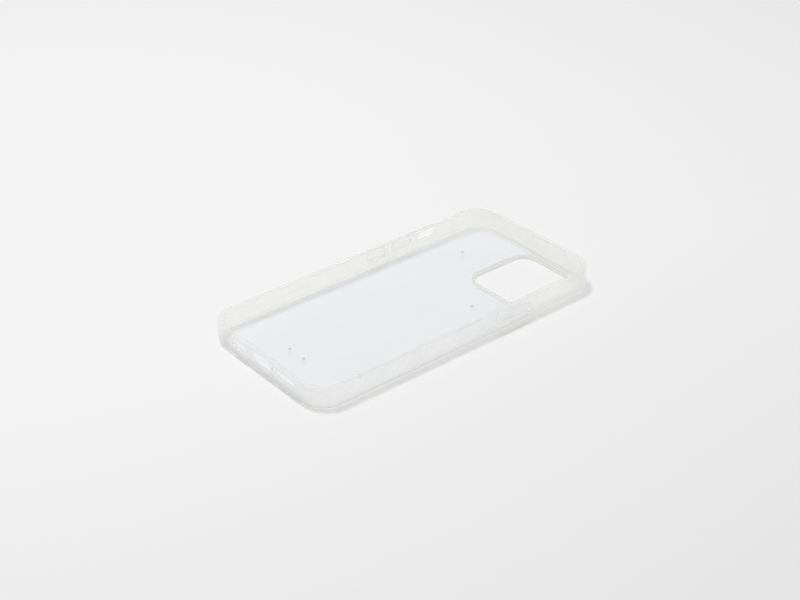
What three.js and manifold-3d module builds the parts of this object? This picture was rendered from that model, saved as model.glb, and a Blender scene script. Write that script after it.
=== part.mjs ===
// Hybrid phone case, lying on its back with the open side up.
//
// A soft translucent bumper frame runs around the phone and grips its front edge with a lip. A clear
// hard plate closes the back. The frame's foot holds the plate's edge in a groove, and a notch in the
// plate's corner makes room for the frame's camera surround, whose ring stands proud of the back.
// Three button pads hang in windows in the side walls on thin moulded webs.
//
// Millimetres. Origin: middle of the case, on the surface the lens ring rests on. +Z points out of
// the open side, +Y to the phone's top end, and +X to the phone's right side as its screen is seen.
import * as THREE from 'three';
import { mergeVertices } from 'three/addons/utils/BufferGeometryUtils.js';
import Module from 'manifold-3d';

// The phone that the case is made for.
const phoneWidth = 71.5;
const phoneLength = 146.7;
const phoneThickness = 7.65;
const phoneCornerRadius = 10;

// Soft frame.
const fitGap = 0.15; // all round the phone
const wall = 1.6; // side wall
const rimWidth = 2.4; // lip as seen from above
const lipRise = 0.75; // rim above the phone's glass
const rimRound = 0.9; // outer edge of the rim
const lipRound = 0.5; // inner edge of the rim
const backRound = 2; // outer edge of the back
const footWidth = 0.6; // narrow ledge inside the walls that the phone rests on
const footStep = 0.5; // foot above the plate
const footFillet = 0.2; // between foot and wall

// Hard plate.
const plateThickness = 1.4;
const seamGap = 0.15; // between plate and frame
const tongueThickness = 0.5; // edge that sits in the frame's groove
const tongueDepth = 0.7;
const nubRadius = 0.7; // moulded spacers that hold the phone off the plate
const nubPairSpan = 9.3;
const nubPairShift = -1.9; // middle of the lower pair, from the centre line
const nubPairFromBottom = 17.2;
const sideNubFromTop = 24.3;
const sideNubFromCentre = 20.2;
const cameraNubDrop = 14.8; // below the camera window
const cameraNubFromCentre = 16.8;

// Camera window, its surround and the lens ring on the back.
const cameraWidth = 35;
const cameraLength = 34.2;
const cameraRadius = 7;
const cameraFromTop = 3.1; // strip between the window and the phone's top edge
const cameraFromSide = 3.4; // strip between the window and the phone's right edge
const lining = 0.8; // soft edge around the window
const stripStart = 3.4; // the soft strips begin this far inside the window's two inner corners
const ringHeight = 0.6; // lens ring below the plate
const ringChamfer = 0.25;

// Openings in the walls.
const cutRise = 1.1; // the openings sit this far above the phone's mid-plane
const portWidth = 13.6;
const portHeight = 5.7;
const portRadius = 2.4;
const slotHeight = 4;
const microphoneSlotLength = 10;
const microphoneSlotFromCentre = 14.3;
const speakerSlotLength = 13.5;
const speakerSlotFromCentre = 15.9;
const muteSlotLength = 10.5;
const muteSlotHeight = 4;
const muteSlotFromTop = 31.5;

// Buttons.
const buttonHeight = 3.4;
const volumeButtonLength = 10.4;
const volumeUpFromTop = 46;
const volumeDownFromTop = 60;
const powerButtonLength = 17.5;
const powerButtonFromTop = 48.3;
const buttonProud = 0.35; // pad above the wall
const buttonBoss = 1.2; // pad below the wall's outer face
const webWidth = 0.9; // flexing web around a pad
const webThickness = 0.4;
const webSink = 0.2; // web below the wall's outer face
const webGap = 0.1;

// Fineness of round shapes.
const cornerSteps = 14;
const roundSteps = 6;
const holeSteps = 10;

// Sizes that follow from those above.
const cavityWidth = phoneWidth + 2 * fitGap;
const cavityLength = phoneLength + 2 * fitGap;
const caseWidth = cavityWidth + 2 * wall;
const caseLength = cavityLength + 2 * wall;
const caseRadius = phoneCornerRadius + fitGap + wall;
const backZ = ringHeight;
const plateTopZ = backZ + plateThickness;
const footTopZ = plateTopZ + footStep;
const phoneTopZ = footTopZ + phoneThickness + fitGap;
const rimZ = phoneTopZ + lipRise;
const cutZ = footTopZ + phoneThickness / 2 + cutRise;
const windowWidth = cavityWidth - 2 * footWidth;
const windowLength = cavityLength - 2 * footWidth;
const windowCornerRadius = phoneCornerRadius + fitGap - footWidth; // opening that the plate fills
const phoneTopY = phoneLength / 2;
const cameraX = phoneWidth / 2 - cameraFromSide - cameraWidth / 2;
const cameraY = phoneTopY - cameraFromTop - cameraLength / 2;
const beyond = 4; // how far a cutting shape runs past what it cuts

const wasm = await Module();
wasm.setup();

// Closed three.js geometry to a solid that can be joined and cut, and back.
function solid(geometry) {
  const bare = geometry.clone();
  bare.deleteAttribute('normal');
  bare.deleteAttribute('uv');
  const merged = mergeVertices(bare, 1e-5);
  return new wasm.Manifold(new wasm.Mesh({
    numProp: 3,
    vertProperties: new Float32Array(merged.attributes.position.array),
    triVerts: new Uint32Array(merged.index.array),
  }));
}

function geometryOf(body) {
  const mesh = body.getMesh();
  const geometry = new THREE.BufferGeometry();
  geometry.setAttribute('position', new THREE.BufferAttribute(new Float32Array(mesh.vertProperties), 3));
  geometry.setIndex(new THREE.BufferAttribute(new Uint32Array(mesh.triVerts), 1));
  geometry.computeVertexNormals();
  return geometry;
}

// Points of a rounded rectangle about (0, 0), anticlockwise, always the same number of them.
function roundedRing(width, length, radius, steps) {
  const r = Math.max(Math.min(radius, width / 2, length / 2), 0.05);
  const corners = [[1, 1], [-1, 1], [-1, -1], [1, -1]];
  return corners.flatMap(([sx, sy], corner) => Array.from({ length: steps + 1 }, (_, step) => {
    const angle = (corner + step / steps) * Math.PI / 2;
    const x = sx * (width / 2 - r) + r * Math.cos(angle);
    const y = sy * (length / 2 - r) + r * Math.sin(angle);
    return new THREE.Vector2(x, y);
  }));
}

// Upright block with a rounded rectangle as its plan, between two heights.
function block(width, length, radius, z0, z1, x = 0, y = 0, steps = holeSteps) {
  const shape = new THREE.Shape(roundedRing(width, length, radius, steps));
  const geometry = new THREE.ExtrudeGeometry(shape, { depth: z1 - z0, bevelEnabled: false });
  return solid(geometry.translate(x, y, z0));
}

// Solid whose outline at each height is the case's outline moved inwards by the profile's inset.
function stack(profile) {
  const rings = profile.map(([inset]) => roundedRing(
    caseWidth - 2 * inset, caseLength - 2 * inset, caseRadius - inset, cornerSteps));
  const count = rings[0].length;
  const positions = rings.flatMap((ring, level) => ring.flatMap((p) => [p.x, p.y, profile[level][1]]));
  const index = [];
  for (let level = 0; level + 1 < rings.length; level += 1) {
    for (let i = 0; i < count; i += 1) {
      const a = level * count + i;
      const b = level * count + (i + 1) % count;
      index.push(a, b, b + count, a, b + count, a + count);
    }
  }
  const last = (rings.length - 1) * count;
  for (const [i, j, k] of THREE.ShapeUtils.triangulateShape(rings[0], [])) index.push(i, k, j);
  for (const [i, j, k] of THREE.ShapeUtils.triangulateShape(rings.at(-1), [])) {
    index.push(last + i, last + j, last + k);
  }
  const geometry = new THREE.BufferGeometry();
  geometry.setAttribute('position', new THREE.Float32BufferAttribute(positions, 3));
  geometry.setIndex(index);
  return solid(geometry);
}

// Points of a quarter round in a profile, from one angle to another about a centre.
function arc(inset, z, radius, from, to) {
  return Array.from({ length: roundSteps + 1 }, (_, step) => {
    const angle = THREE.MathUtils.degToRad(from + (to - from) * step / roundSteps);
    return [inset + radius * Math.cos(angle), z + radius * Math.sin(angle)];
  });
}

// Block lying on its side: a rounded rectangle in a wall, running through it along X or Y.
function wallBlock(axis, length, height, radius, from, to, along, z) {
  const body = new THREE.Shape(roundedRing(length, height, radius, holeSteps));
  const geometry = new THREE.ExtrudeGeometry(body, { depth: to - from, bevelEnabled: false });
  geometry.rotateX(Math.PI / 2);
  if (axis === 'y') return solid(geometry.translate(along, to, z));
  geometry.rotateZ(Math.PI / 2);
  return solid(geometry.translate(from, along, z));
}

// Camera window grown outwards by a margin.
function cameraBlock(margin, z0, z1) {
  return block(cameraWidth + 2 * margin, cameraLength + 2 * margin, cameraRadius + margin, z0, z1,
    cameraX, cameraY);
}

// Corner of the case from the window's inner corner outwards, where the soft strips lie.
function cornerBlock(margin, z0, z1) {
  const x0 = cameraX - cameraWidth / 2 + stripStart - margin;
  const y0 = cameraY - cameraLength / 2 + stripStart - margin;
  const width = caseWidth / 2 - x0;
  const length = caseLength / 2 - y0;
  return block(width, length, 0.05, z0, z1, x0 + width / 2, y0 + length / 2, 1);
}

const buttons = [
  { name: 'volume_up_button', web: 'volume_up_web', side: -1, length: volumeButtonLength,
    y: phoneTopY - volumeUpFromTop },
  { name: 'volume_down_button', web: 'volume_down_web', side: -1, length: volumeButtonLength,
    y: phoneTopY - volumeDownFromTop },
  { name: 'power_button', web: 'power_web', side: 1, length: powerButtonLength,
    y: phoneTopY - powerButtonFromTop },
];

// Rounded block in a side wall, between two distances from the wall's outer face, outwards positive.
function buttonBlock({ side, length, y }, grow, inner, outer) {
  const face = side * caseWidth / 2;
  const from = Math.min(face + side * inner, face + side * outer);
  const to = Math.max(face + side * inner, face + side * outer);
  const height = buttonHeight + 2 * grow;
  return wallBlock('x', length + 2 * grow, height, height / 2, from, to, y, cutZ);
}

function makeFrame() {
  const outside = stack([
    ...arc(backRound, backZ + backRound, backRound, 270, 180),
    ...arc(rimRound, rimZ - rimRound, rimRound, 180, 90),
  ]);
  const cavity = stack([
    ...arc(wall + footFillet, footTopZ + footFillet, footFillet, 270, 180),
    [wall, phoneTopZ],
    ...arc(rimWidth - lipRound, rimZ - lipRound, lipRound, 0, 90),
    [rimWidth - lipRound, rimZ + beyond],
  ]);
  const window = block(windowWidth, windowLength, windowCornerRadius, backZ - beyond, footTopZ + beyond);
  const surround = cameraBlock(lining, backZ, plateTopZ)
    .add(cornerBlock(0, backZ, plateTopZ))
    .intersect(block(caseWidth - 2 * wall, caseLength - 2 * wall, caseRadius - wall, backZ, plateTopZ));
  const ring = cameraBlock(lining - ringChamfer, 0, ringChamfer)
    .add(cameraBlock(lining, ringChamfer, backZ + plateThickness / 2));
  let frame = outside.subtract(cavity).subtract(window).add(surround).add(ring);
  frame = frame.subtract(cameraBlock(0, -beyond, footTopZ + beyond));
  frame = frame.subtract(makePlateEdge(seamGap));
  const bottomFrom = -caseLength / 2 - beyond;
  const bottomTo = -caseLength / 2 + wall + beyond;
  const ends = [
    [0, portWidth, portHeight, portRadius],
    [-microphoneSlotFromCentre, microphoneSlotLength, slotHeight, slotHeight / 2],
    [speakerSlotFromCentre, speakerSlotLength, slotHeight, slotHeight / 2],
  ];
  for (const [x, width, height, radius] of ends) {
    frame = frame.subtract(wallBlock('y', width, height, radius, bottomFrom, bottomTo, x, cutZ));
  }
  frame = frame.subtract(wallBlock('x', muteSlotLength, muteSlotHeight, muteSlotHeight / 2,
    -caseWidth / 2 - beyond, -caseWidth / 2 + wall + beyond, phoneTopY - muteSlotFromTop, cutZ));
  for (const button of buttons) {
    frame = frame.subtract(buttonBlock(button, webWidth, -wall - beyond, beyond));
  }
  return frame;
}

// Outer edge of the plate that sits in the frame's groove, grown by a clearance for the groove.
function makePlateEdge(gap) {
  const middle = backZ + plateThickness / 2;
  const half = tongueThickness / 2 + gap;
  const reach = tongueDepth - seamGap + gap;
  return block(windowWidth + 2 * reach, windowLength + 2 * reach, windowCornerRadius + reach,
    middle - half, middle + half)
    .subtract(cornerBlock(seamGap - gap, -beyond, footTopZ))
    .subtract(cameraBlock(lining + seamGap - gap, -beyond, footTopZ));
}

function makeNub(x, y) {
  const round = footStep * 0.6;
  const foot = plateThickness / 2;
  const profile = [
    new THREE.Vector2(0, -foot),
    new THREE.Vector2(nubRadius, -foot),
    new THREE.Vector2(nubRadius, footStep - round),
    new THREE.Vector2(nubRadius - round, footStep),
    new THREE.Vector2(0, footStep),
  ];
  const geometry = new THREE.LatheGeometry(profile, 16);
  return solid(geometry.rotateX(Math.PI / 2).translate(x, y, plateTopZ));
}

function makePlate() {
  const width = windowWidth - 2 * seamGap;
  const length = windowLength - 2 * seamGap;
  let plate = block(width, length, windowCornerRadius - seamGap, backZ, plateTopZ)
    .subtract(cornerBlock(seamGap, -beyond, footTopZ))
    .subtract(cameraBlock(lining + seamGap, -beyond, footTopZ))
    .add(makePlateEdge(0));
  const nubs = [
    [nubPairShift - nubPairSpan / 2, nubPairFromBottom - phoneTopY],
    [nubPairShift + nubPairSpan / 2, nubPairFromBottom - phoneTopY],
    [-sideNubFromCentre, phoneTopY - sideNubFromTop],
    [cameraNubFromCentre, cameraY - cameraLength / 2 - cameraNubDrop],
  ];
  for (const [x, y] of nubs) plate = plate.add(makeNub(x, y));
  return plate;
}

function makeWeb(button) {
  return buttonBlock(button, webWidth - webGap, -webSink - webThickness, -webSink)
    .subtract(buttonBlock(button, webGap, -wall, beyond));
}

const soft = { color: 0xe9eae6, roughness: 0.55, metalness: 0 };
const clear = { color: 0xe8ebf2, roughness: 0.12, metalness: 0 };
const group = new THREE.Group();

function addNode(name, body, finish) {
  const mesh = new THREE.Mesh(geometryOf(body), new THREE.MeshStandardMaterial(finish));
  mesh.name = name;
  group.add(mesh);
}

addNode('bumper_frame', makeFrame(), soft);
addNode('back_plate', makePlate(), clear);
for (const button of buttons) {
  addNode(button.name, buttonBlock(button, 0, -buttonBoss, buttonProud), soft);
  addNode(button.web, makeWeb(button), soft);
}

export default group;
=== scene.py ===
"""Hybrid phone case: soft frosted bumper, clear hard back plate and three sprung side buttons."""
import math

import bmesh
import bpy
from mathutils import Matrix, Vector


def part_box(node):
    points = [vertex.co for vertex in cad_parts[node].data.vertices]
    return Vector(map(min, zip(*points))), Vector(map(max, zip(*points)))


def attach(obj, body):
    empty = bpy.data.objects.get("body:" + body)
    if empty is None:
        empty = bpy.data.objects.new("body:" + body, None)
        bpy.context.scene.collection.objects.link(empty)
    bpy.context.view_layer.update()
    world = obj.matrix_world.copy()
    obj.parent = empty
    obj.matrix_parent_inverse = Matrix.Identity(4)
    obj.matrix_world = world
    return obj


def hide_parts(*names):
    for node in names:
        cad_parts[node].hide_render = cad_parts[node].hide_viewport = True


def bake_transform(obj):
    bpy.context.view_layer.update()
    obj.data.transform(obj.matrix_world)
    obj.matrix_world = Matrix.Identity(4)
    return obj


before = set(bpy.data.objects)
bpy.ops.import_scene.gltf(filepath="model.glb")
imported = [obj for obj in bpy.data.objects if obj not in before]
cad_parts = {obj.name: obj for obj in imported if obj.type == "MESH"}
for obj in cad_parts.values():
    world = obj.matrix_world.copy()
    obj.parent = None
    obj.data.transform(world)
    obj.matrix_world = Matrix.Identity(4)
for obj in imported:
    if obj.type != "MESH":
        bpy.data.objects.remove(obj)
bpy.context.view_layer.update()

scene = bpy.context.scene
mm = 0.001


# --- Setting -----------------------------------------------------------------------------------
# A pale matt table in a white room, under one small soft lamp high above and to the left.
# The lens ring lifts the camera corner, so the table is tilted to touch the ring and the far end.
def named(sockets, name):
    """The socket in use that has this name, or this place in the list."""
    if isinstance(name, int):
        return sockets[name]
    return next(s for s in sockets if s.enabled and s.name == name.replace("_", " "))


class Wire:
    """A shader socket that can be used in sums, so that 1 - mask adds its own Math node."""

    def __init__(self, tree, socket):
        self.tree, self.socket = tree, socket

    def join(self, operation, first, second):
        node = self.tree.nodes.new("ShaderNodeMath")
        node.operation = operation
        for slot, value in zip(node.inputs, (first, second)):
            if isinstance(value, Wire):
                self.tree.links.new(value.socket, slot)
            else:
                slot.default_value = value
        return Wire(self.tree, node.outputs[0])

    def __add__(self, other):
        return self.join("ADD", self, other)

    def __radd__(self, other):
        return self.join("ADD", other, self)

    def __sub__(self, other):
        return self.join("SUBTRACT", self, other)

    def __rsub__(self, other):
        return self.join("SUBTRACT", other, self)

    def __mul__(self, other):
        return self.join("MULTIPLY", self, other)

    def __rmul__(self, other):
        return self.join("MULTIPLY", other, self)


class Finish:
    """A material, with one method that adds any node to it."""

    def __init__(self, name):
        self.material = bpy.data.materials.new(name)
        self.material.use_nodes = True
        self.tree = self.material.node_tree
        self.shader = self.tree.nodes["Principled BSDF"]
        self.place = self.node("ShaderNodeTexCoord", output="Object")

    def node(self, kind, settings=None, output=0, **inputs):
        made = self.tree.nodes.new(kind)
        for name, value in (settings or {}).items():
            if name == "stops":
                for element, (position, color) in zip(made.color_ramp.elements, value):
                    element.position, element.color = position, (*color, 1.0)
            else:
                setattr(made, name, value)
        for name, value in inputs.items():
            self.feed(named(made.inputs, name), value)
        return Wire(self.tree, named(made.outputs, output))

    def feed(self, socket, value):
        if isinstance(value, Wire):
            self.tree.links.new(value.socket, socket)
        else:
            socket.default_value = value

    def set(self, **inputs):
        for name, value in inputs.items():
            self.feed(named(self.shader.inputs, name), value)

    def noise(self, scale, detail):
        return self.node("ShaderNodeTexNoise", Vector=self.place, Scale=scale, Detail=detail)

    def above(self, low, high):
        """A mask that rises from 0 to 1 between two heights, in millimetres."""
        height = self.node("ShaderNodeSeparateXYZ", output="Z", Vector=self.place)
        return self.node("ShaderNodeMapRange", Value=height, From_Min=low * mm, From_Max=high * mm)

    def veil(self, other, share):
        """Another shader laid over what the surface has so far, by a share."""
        surface = self.tree.nodes["Material Output"].inputs["Surface"]
        so_far = Wire(self.tree, surface.links[0].from_socket)
        mix = self.node("ShaderNodeMixShader", Fac=share, Shader=so_far)
        self.feed(mix.socket.node.inputs[2], other)
        self.feed(surface, mix)


def link(obj):
    scene.collection.objects.link(obj)
    return obj


# The table's colour is painted darker towards its near side, a painted light falloff; the cloud
# noise laid over it is random tone.
table_near_painted_shade = (0.80, 0.80, 0.80)
table_far_painted_light = (0.855, 0.855, 0.855)
table_falloff_turn = math.radians(-70)
table_falloff_start = 0.45

table = Finish("pale_table")
table_grain = table.noise(900.0, 3.0)
table_cloud = table.noise(2.2, 1.0)
table_turned = table.node(
    "ShaderNodeMapping", Vector=table.place,
    Rotation=(0.0, 0.0, table_falloff_turn), Location=(0.0, table_falloff_start, 0.0),
)
table_falloff_across = table.node("ShaderNodeSeparateXYZ", output="Y", Vector=table_turned)
# Painted light falloff across the table, with random cloud tone on top.
table_tone_and_falloff = table.node(
    "ShaderNodeValToRGB", {"stops": [(0.3, table_near_painted_shade), (0.52, table_far_painted_light)]},
    Fac=table_falloff_across + 0.12 * table_cloud,
)
table_bump = table.node(
    "ShaderNodeBump", Height=table_grain, Strength=0.04, Distance=0.2 * mm)
table.set(Base_Color=table_tone_and_falloff, Roughness=0.75, Normal=table_bump)

table_half = 3.0
ring_touch_y = 35.5 * mm
end_touch_y = -73.1 * mm
end_touch_z = 0.6 * mm
table_slope = end_touch_z / (end_touch_y - ring_touch_y)
table_corners = [(x * table_half, y * table_half) for x, y in ((-1, -1), (1, -1), (1, 1), (-1, 1))]
table_mesh = bpy.data.meshes.new("table")
table_mesh.from_pydata(
    [(x, y, (y - ring_touch_y) * table_slope) for x, y in table_corners], [], [(0, 1, 2, 3)])
table_mesh.materials.append(table.material)
table_object = link(bpy.data.objects.new("table", table_mesh))

world = bpy.data.worlds.new("white_room")
world.use_nodes = True
world.node_tree.nodes["Background"].inputs["Color"].default_value = (1.0, 1.0, 1.0, 1.0)
world.node_tree.nodes["Background"].inputs["Strength"].default_value = 0.635
scene.world = world

lamp = bpy.data.lights.new("soft_box", "AREA")
lamp.shape = "RECTANGLE"
lamp.size, lamp.size_y = 0.2, 0.2
lamp.energy = 6.5
lamp_object = link(bpy.data.objects.new("soft_box", lamp))
lamp_object.location = (-0.27, -0.1, 1.2)
lamp_object.visible_glossy = False
lamp_object.rotation_euler = (-Vector(lamp_object.location)).to_track_quat("-Z", "Y").to_euler()

# Light crosses a dozen clear surfaces where the case's walls overlap.
scene.cycles.max_bounces = 24
scene.cycles.transmission_bounces = 16
scene.cycles.transparent_max_bounces = 64
scene.view_settings.view_transform = "Standard"

# The camera looks down on the case from between its port end and its right wall.
view_azimuth = math.radians(50.63)
view_elevation = math.radians(31.4)
view_roll = math.radians(-0.62)
view_target = Vector((-9.44, 3.86, 0.0)) * mm
view_distance = 654.5 * mm
towards = Vector((
    math.sin(view_azimuth) * math.cos(view_elevation),
    -math.cos(view_azimuth) * math.cos(view_elevation),
    math.sin(view_elevation),
))
level = Vector((math.cos(view_azimuth), math.sin(view_azimuth), 0.0))
upright = towards.cross(level)
right = level * math.cos(view_roll) + upright * math.sin(view_roll)
up = upright * math.cos(view_roll) - level * math.sin(view_roll)
camera = bpy.data.cameras.new("camera")
camera.lens = 69.21
camera.sensor_width = 36.0
camera.clip_start, camera.clip_end = 0.01, 20.0
camera_object = link(bpy.data.objects.new("camera", camera))
camera_object.matrix_world = (
    Matrix.Translation(view_target + towards * view_distance)
    @ Matrix((right, up, towards)).transposed().to_4x4()
)
scene.camera = camera_object


# --- Bumper --------------------------------------------------------------------------------------
# The soft frame: one moulding of frosted thermoplastic rubber, shot round the plate's edge.
# One wall section runs round the phone's outline, with the lip above and the foot below.
# The surround of the camera window and its lens ring belong to the same moulding.
class Tree:
    """A Geometry Nodes tree and the methods that add its inputs and nodes."""

    def __init__(self, name):
        self.group = bpy.data.node_groups.new(name, "GeometryNodeTree")
        self.group.interface.new_socket(
            "Geometry", in_out="OUTPUT", socket_type="NodeSocketGeometry")
        self.inputs = self.group.nodes.new("NodeGroupInput")
        self.sockets = {}

    def ask(self, name, kind):
        socket = self.group.interface.new_socket(
            name, in_out="INPUT", socket_type=f"NodeSocket{kind}")
        self.sockets[name] = socket.identifier
        return self.inputs.outputs[name]

    def node(self, kind, settings=None, output=0, **inputs):
        made = self.group.nodes.new(kind)
        for name, value in (settings or {}).items():
            setattr(made, name, value)
        for name, value in inputs.items():
            socket = named(made.inputs, name)
            if isinstance(value, bpy.types.NodeSocket):
                self.group.links.new(value, socket)
            else:
                socket.default_value = value
        return named(made.outputs, output)

    def end(self, geometry, material):
        real = self.node("GeometryNodeRealizeInstances", Geometry=geometry)
        dressed = self.node("GeometryNodeSetMaterial", Geometry=real, Material=material)
        self.group.links.new(dressed, self.group.nodes.new("NodeGroupOutput").inputs[0])


sweep = Tree("sweep_round_outline")
sweep_outline = sweep.node(
    "GeometryNodeCurvePrimitiveQuadrilateral", {"mode": "RECTANGLE"},
    Width=sweep.ask("Width", "Float"), Height=sweep.ask("Length", "Float"),
)
sweep_outline = sweep.node(
    "GeometryNodeFilletCurve", {"mode": "POLY"}, Curve=sweep_outline,
    Radius=sweep.ask("Radius", "Float"), Count=sweep.ask("Corner Steps", "Int"),
)
sweep_outline = sweep.node("GeometryNodeSetCurveNormal", {"mode": "Z_UP"}, Curve=sweep_outline)
sweep_section = sweep.node(
    "GeometryNodeObjectInfo", {"transform_space": "ORIGINAL"}, "Geometry",
    Object=sweep.ask("Section", "Object"),
)
sweep_walls = sweep.node(
    "GeometryNodeCurveToMesh", Curve=sweep_outline, Profile_Curve=sweep_section)
sweep.end(sweep_walls, sweep.ask("Material", "Material"))


def closed_section(points):
    """A section's points as a closed curve: across the wall towards its inside, and up."""
    curve = bpy.data.curves.new("section", "CURVE")
    spline = curve.splines.new("POLY")
    spline.points.add(len(points) - 1)
    for point, (inset, height) in zip(spline.points, points):
        point.co = (-inset * mm, -height * mm, 0.0, 1.0)
    spline.use_cyclic_u = True
    return link(bpy.data.objects.new("section", curve))


def plain(obj):
    """The result of the object's modifiers as a mesh of its own, with the modifiers removed."""
    mesh = bpy.data.meshes.new_from_object(
        obj.evaluated_get(bpy.context.evaluated_depsgraph_get()))
    obj.modifiers.clear()
    return mesh


def frozen(obj):
    """The object with its modifiers' result as its plain mesh, faces outwards."""
    mesh = plain(obj)
    work = bmesh.new()
    work.from_mesh(mesh)
    bmesh.ops.remove_doubles(work, verts=work.verts, dist=1e-7)
    bmesh.ops.recalc_face_normals(work, faces=work.faces)
    work.to_mesh(mesh)
    work.free()
    obj.data = mesh
    return obj


def swept(name, points, width, length, radius, finish, steps=24):
    """A closed section run round a rounded rectangle, all in millimetres."""
    section = closed_section(points)
    obj = link(bpy.data.objects.new(name, bpy.data.meshes.new(name)))
    modifier = obj.modifiers.new("sweep", "NODES")
    modifier.node_group = sweep.group
    values = {
        "Width": width * mm, "Length": length * mm, "Radius": radius * mm, "Corner Steps": steps,
        "Section": section, "Material": finish.material,
    }
    for key, value in values.items():
        modifier[sweep.sockets[key]] = value
    frozen(obj)
    bpy.data.objects.remove(section)
    return obj


def quarter(inset, height, radius, start, end, steps=6):
    """Points of a round in a section, from one angle to another in degrees."""
    angles = [math.radians(start + (end - start) * step / steps) for step in range(steps + 1)]
    return [(inset + radius * math.cos(a), height + radius * math.sin(a)) for a in angles]


def lofted(name, levels, place=None, steps=10):
    """A closed solid through rounded rectangles (width, length, radius, height), in millimetres."""
    work = bmesh.new()
    rings = []
    for width, length, radius, height in levels:
        ring = []
        for corner, (sx, sy) in enumerate(((1, 1), (-1, 1), (-1, -1), (1, -1))):
            for step in range(steps + 1):
                angle = (corner + step / steps) * math.pi / 2
                x = sx * (width / 2 - radius) + radius * math.cos(angle)
                y = sy * (length / 2 - radius) + radius * math.sin(angle)
                ring.append(work.verts.new((x * mm, y * mm, height * mm)))
        rings.append(ring)
    for below, above in zip(rings, rings[1:]):
        for i in range(len(below)):
            j = (i + 1) % len(below)
            work.faces.new((below[i], below[j], above[j], above[i]))
    work.faces.new(rings[0][::-1])
    work.faces.new(rings[-1])
    bmesh.ops.remove_doubles(work, verts=work.verts, dist=1e-8)
    bmesh.ops.recalc_face_normals(work, faces=work.faces)
    mesh = bpy.data.meshes.new(name)
    work.to_mesh(mesh)
    work.free()
    if place:
        mesh.transform(place)
    return link(bpy.data.objects.new(name, mesh))


def worked(obj, **steps):
    """The object joined with, cut by or kept inside other solids, which are used up."""
    operations = {"add": "UNION", "cut": "DIFFERENCE", "keep": "INTERSECT"}
    for step, tools in steps.items():
        for tool in tools:
            modifier = obj.modifiers.new(step, "BOOLEAN")
            modifier.operation = operations[step]
            modifier.solver = "EXACT"
            modifier.object = tool
        frozen(obj)
        for tool in tools:
            bpy.data.objects.remove(tool)
    return obj


def finished(obj, finish):
    """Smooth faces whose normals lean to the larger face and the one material."""
    obj.data.materials.clear()
    obj.data.materials.append(finish.material)
    obj.data.shade_smooth()
    obj.data.set_sharp_from_angle(angle=math.radians(35.0))
    weighted = obj.modifiers.new("weighted", "WEIGHTED_NORMAL")
    weighted.keep_sharp = True
    obj.data = plain(obj)
    return obj


def rounded(low, high, bottom, top, steps=5):
    """Insets and heights up a side that has a round at its bottom and one at its top."""
    turns = [math.pi / 2 * step / steps for step in range(steps + 1)]
    return [
        (bottom * (1 - math.cos(a)), low + bottom * (1 - math.sin(a))) for a in reversed(turns)
    ] + [
        (top * (1 - math.cos(a)), high - top * (1 - math.sin(a))) for a in turns
    ]


def eased(width, length, radius, low, high, bottom, top):
    """Levels of an upright cutter that opens in a round at both faces, or runs straight through."""
    beyond = 2.0
    levels = [(bottom, low - beyond)]
    if bottom and top:
        levels += rounded(low, high, bottom, top)
    levels += [(top, high + beyond)]
    return [(width + 2 * grow, length + 2 * grow, radius + grow, height) for grow, height in levels]


frost_milky = (0.955, 0.957, 0.925)
frost_clear = (0.985, 0.987, 0.962)

frost = Finish("frosted_rubber")
frost_cloud = frost.noise(120.0, 3.0)
frost_grain = frost.noise(2600.0, 2.0)
frost_speck = frost.noise(9000.0, 1.0)
frost_tone = frost.node(
    "ShaderNodeValToRGB", {"stops": [(0.35, frost_milky), (0.65, frost_clear)]},
    Fac=0.45 * frost_cloud + 0.55 * frost_grain,
)
frost_bump = frost.node(
    "ShaderNodeBump", Height=frost_grain + 0.4 * frost_speck, Strength=0.35, Distance=0.03 * mm)
frost.set(
    Base_Color=frost_tone, Roughness=0.36 + 0.14 * frost_cloud, Normal=frost_bump,
    Transmission_Weight=0.75, IOR=1.4, Alpha=0.14 + 0.12 * frost_grain,
    Coat_Weight=0.3, Coat_Roughness=0.2, Coat_IOR=1.4,
)
# The moulding glows where light gathers in its thick foot, and its underside is matt.
frost_foot = 1 - frost.above(1.2, 1.9)
frost_under = 1 - frost.above(0.62, 0.72)
frost_glow = frost.node("ShaderNodeBsdfTranslucent", Color=(0.985, 0.986, 0.974, 1.0))
frost_matt = frost.node("ShaderNodeBsdfDiffuse", Color=(0.8, 0.8, 0.78, 1.0))
frost.veil(frost_glow, 0.17 + 0.06 * frost_cloud + 0.55 * frost_foot)
frost.veil(frost_matt, 0.20 * frost_under)

case_low, case_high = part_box("bumper_frame")
case_width, case_length = ((case_high[axis] - case_low[axis]) / mm for axis in (0, 1))
case_radius = 11.75
rim_z = case_high.z / mm
back_z = 0.6             # the back face, which the lens ring holds off the table
plate_top = 2.0
foot_top = 2.5           # the phone rests here
phone_top = 10.3         # underside of the lip
wall = 1.6
foot_width = 0.6
rim_width = 2.4
back_round = 2.0
rim_round = 0.9
lip_round = 0.5
lip_corner = 0.12
lip_root = 0.15
foot_fillet = 0.5
section_reach = 5.0      # the section runs in this far, and the window then cuts it back

wall_section = (
    quarter(back_round, back_z + back_round, back_round, 270, 180, 8)
    + quarter(rim_round, rim_z - rim_round, rim_round, 180, 90)
    + quarter(rim_width - lip_round, rim_z - lip_round, lip_round, 90, 0)
    + quarter(rim_width - lip_corner, phone_top + lip_corner, lip_corner, 0, -90, 3)
    + quarter(wall + lip_root, phone_top - lip_root, lip_root, 90, 180, 3)
    + quarter(wall + foot_fillet, foot_top + foot_fillet, foot_fillet, 180, 270, 5)
    + [(section_reach, foot_top), (section_reach, back_z)]
)
bumper = swept("bumper", wall_section, case_width, case_length, case_radius, frost)

window_width = case_width - 2 * (wall + foot_width)
window_length = case_length - 2 * (wall + foot_width)
window_radius = case_radius - wall - foot_width
window_mouths = (0.05, 0.06)
bumper = worked(bumper, cut=[lofted("window", eased(
    window_width, window_length, window_radius, back_z, foot_top, *window_mouths), steps=24)])

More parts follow.
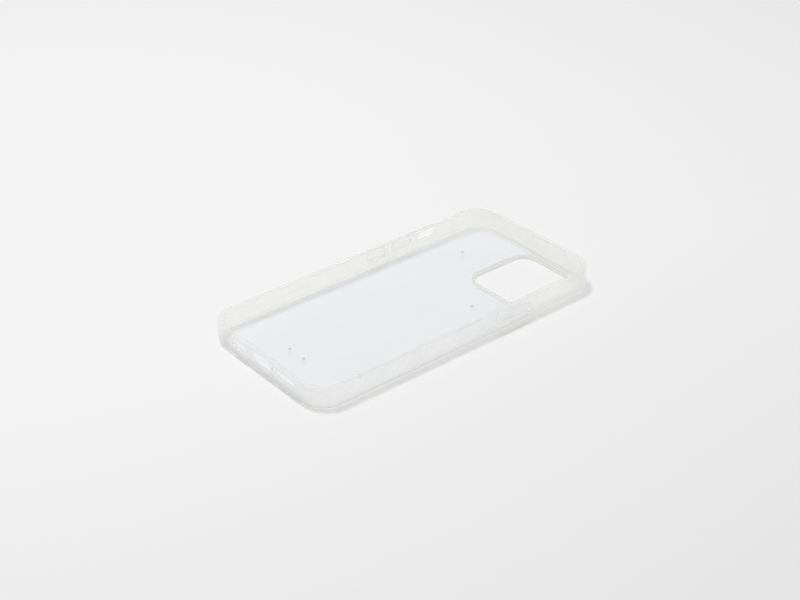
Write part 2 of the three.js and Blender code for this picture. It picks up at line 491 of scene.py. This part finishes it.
camera_width, camera_length, camera_radius = 35.0, 34.2, 7.0
camera_x, camera_y = 14.85, 53.15
camera_place = Matrix.Translation((camera_x * mm, camera_y * mm, 0.0))
lining = 0.8
strip_start = 3.4        # the soft strips start this far inside the camera window's near corner
strip_x = camera_x - camera_width / 2 + strip_start
strip_y = camera_y - camera_length / 2 + strip_start
strip_overlap = 0.3      # how far the strips run into the foot
strip_lift = 0.02


def corner_solid(gap, ease):
    """The camera corner of the case from the soft strips' ends outwards, moved out by a gap."""
    side, radius = 60.0, 0.4
    middle = Vector((strip_x - gap + side / 2, strip_y - gap + side / 2, 0.0)) * mm
    levels = eased(side, side, radius, back_z, plate_top, ease, ease)
    return lofted("corner", levels, Matrix.Translation(middle), 4)


strip_size = (
    window_width + 2 * strip_overlap, window_length + 2 * strip_overlap,
    window_radius + strip_overlap,
)
strips = lofted("strips", [(*strip_size, back_z + strip_lift), (*strip_size, plate_top)], steps=24)
strips = worked(strips, keep=[corner_solid(0.0, 0.0)])

ring_edge = 0.15         # round under the ring, at the hole
ring_shoulder = 0.25     # round under the ring, on its outside
ring_joint = 0.12        # round above, next to the plate
hole_round = 0.2         # round above, at the hole
ring_section = (
    quarter(ring_edge, ring_edge, ring_edge, 180, 270, 4)
    + quarter(lining - ring_shoulder, ring_shoulder, ring_shoulder, 270, 360, 5)
    + quarter(lining - ring_joint, plate_top - ring_joint, ring_joint, 0, 90, 4)
    + quarter(hole_round, plate_top - hole_round, hole_round, 90, 180, 5)
)
ring_section = [(-across, height) for across, height in ring_section]
surround = swept("surround", ring_section, camera_width, camera_length, camera_radius, frost)
surround.data.transform(camera_place)

camera_hole = lofted("hole", eased(
    camera_width, camera_length, camera_radius, 0.0, plate_top, ring_edge, hole_round),
    camera_place, 24)
bumper = worked(bumper, add=[strips, surround], cut=[camera_hole])


def facing(direction, along, height):
    """Turns a solid so that its height points out of a wall, with its middle at the outer face."""
    outward = Vector(direction)
    upward = Vector((0.0, 0.0, 1.0))
    sideways = upward.cross(outward)
    face = case_width / 2 if outward.x else case_length / 2
    middle = outward * face * mm + sideways * along * mm + upward * height * mm
    return Matrix.Translation(middle) @ Matrix((sideways, upward, outward)).transposed().to_4x4()


cut_z = 7.425            # middle height of every opening and button
end_wall = (0.0, -1.0, 0.0)
left_wall = (-1.0, 0.0, 0.0)
right_wall = (1.0, 0.0, 0.0)
slot_height, slot_radius = 4.0, 1.98
wall_openings = [        # name, wall, place along it, width, height, corner radius
    ("port", end_wall, 0.0, 13.6, 5.7, 2.4),
    ("microphone_slot", end_wall, -14.3, 10.0, slot_height, slot_radius),
    ("speaker_slot", end_wall, 15.9, 13.5, slot_height, slot_radius),
    ("mute_slot", left_wall, -41.85, 10.5, slot_height, slot_radius),
]
opening_mouths = (0.15, 0.3)         # rounds at the inner and the outer face
openings = [
    lofted(
        name, eased(width, height, radius, -wall, 0.0, *opening_mouths),
        facing(direction, along, cut_z))
    for name, direction, along, width, height, radius in wall_openings
]

button_height = 3.4
web_width = 0.9
button_straight = 0.02   # half of the straight left between the rounds at a window's end
button_mouths = (0.05, 0.08)
buttons = [              # name, wall, place along it, length
    ("volume_up", left_wall, -27.35, 10.4),
    ("volume_down", left_wall, -13.35, 10.4),
    ("power", right_wall, 25.05, 17.5),
]
for name, direction, along, length in buttons:
    window = (
        length + 2 * web_width, button_height + 2 * web_width,
        button_height / 2 + web_width - button_straight,
    )
    openings.append(lofted(
        name, eased(*window, -wall, 0.0, *button_mouths), facing(direction, along, cut_z)))
bumper = finished(worked(bumper, cut=openings), frost)
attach(bumper, "case")
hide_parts("bumper_frame")


# --- Back plate ----------------------------------------------------------------------------------
# Clear hard polycarbonate sheet with a cool tint, moulded first; the bumper is bonded to its edge.
# One corner is notched for the camera surround, and four small bumps keep the phone off the sheet.
tint_cool = (0.93, 0.945, 0.988)
tint_clear = (0.975, 0.98, 0.996)
# Painted shade for the small bumps on the sheet.
painted_shade_grey = (0.58, 0.58, 0.59, 1.0)

plate_finish = Finish("clear_polycarbonate")
plate_film = plate_finish.noise(42.0, 2.0)
plate_smudge = plate_finish.noise(160.0, 4.0)
plate_tint = plate_finish.node(
    "ShaderNodeValToRGB", {"stops": [(0.35, tint_cool), (0.65, tint_clear)]}, Fac=plate_film)
# The bumps above the sheet are painted grey and made less clear: painted shade on the bumps.
bump_shade_mask = plate_finish.above(2.02, 2.1)
plate_tint = plate_finish.node(
    "ShaderNodeMix", {"data_type": "RGBA"}, "Result", Factor=bump_shade_mask, A=plate_tint, B=painted_shade_grey)
plate_drawn = plate_finish.node(
    "ShaderNodeMapping", Vector=plate_finish.place, Scale=(40.0, 1400.0, 40.0))
plate_scratch = plate_finish.node(
    "ShaderNodeTexNoise", Vector=plate_drawn, Scale=1.0, Detail=4.0)
plate_bump = plate_finish.node(
    "ShaderNodeBump", Height=plate_scratch, Strength=0.05, Distance=0.01 * mm)
plate_finish.set(
    Base_Color=plate_tint, Roughness=0.05 + 0.12 * plate_smudge, Normal=plate_bump,
    IOR=1.5, Alpha=0.17 + 0.10 * plate_film + 0.35 * bump_shade_mask,
)

seam = 0.03              # hairline between the plate's edge and the soft moulding
plate_ease = 0.08
plate_width, plate_length = window_width - 2 * seam, window_length - 2 * seam
plate = lofted("clear_plate", [
    (plate_width - 2 * inset, plate_length - 2 * inset, window_radius - seam - inset, height)
    for inset, height in rounded(back_z, plate_top, plate_ease, plate_ease, 4)
], steps=24)
clear_of = lining + seam
around = lofted("around", eased(
    camera_width + 2 * clear_of, camera_length + 2 * clear_of, camera_radius + clear_of,
    back_z, plate_top, plate_ease, plate_ease), camera_place, 24)
plate = worked(plate, cut=[corner_solid(seam, plate_ease), around])

bump_radius = 0.7
bump_roundness = 0.999
bump_root = 0.3          # how deep a bump reaches into the sheet
bump_height = foot_top - plate_top
bump_steps = 6
bump_places = ((-6.55, -56.15), (2.75, -56.15), (-20.2, 49.05), (16.8, 21.25))
bump_turns = [math.pi / 2 * step / bump_steps for step in range(bump_steps)]
bump_levels = [(bump_radius, plate_top - bump_root)] + [
    (bump_radius * math.cos(a), plate_top + bump_height * math.sin(a)) for a in bump_turns
]
bumps = [
    lofted(
        "bump", [(2 * r, 2 * r, r * bump_roundness, height) for r, height in bump_levels],
        Matrix.Translation((x * mm, y * mm, 0.0)), bump_steps)
    for x, y in bump_places
]
plate = finished(worked(plate, add=bumps), plate_finish)
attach(plate, "case")
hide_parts("back_plate")


# --- Side buttons --------------------------------------------------------------------------------
# Three pads of the bumper's own soft plastic, each hung in its window on a thin sloping web.
# The web is moulded with the pad and the wall, and flattens when the pad is pressed.
pad_proud = 0.35         # out of the wall's face
pad_depth = 1.2          # into the wall
pad_round = 0.22
end_roundness = 0.99     # the pads' ends are almost half circles
web_gap = 0.02
web_thickness = 0.3
web_outer_z = -0.36
web_inner_z = -0.03
web_outer = -(web_width - web_gap)
web_section = [
    (web_outer, web_outer_z), (-web_gap, web_inner_z),
    (-web_gap, web_inner_z - web_thickness), (web_outer, web_outer_z - web_thickness),
]
for name, direction, along, length in buttons:
    place = facing(direction, along, cut_z)
    pad = lofted(f"{name}_pad", [
        (
            length - 2 * inset, button_height - 2 * inset,
            (button_height / 2 - inset) * end_roundness, height,
        )
        for inset, height in rounded(-pad_depth, pad_proud, pad_round, pad_round)
    ], place)
    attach(finished(pad, frost), name)
    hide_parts(f"{name}_button")

    web = swept(
        f"{name}_skirt", web_section, length, button_height,
        button_height / 2 * end_roundness, frost, 10)
    web.data.transform(place)
    finished(web, frost)
    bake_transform(web)
    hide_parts(f"{name}_web")
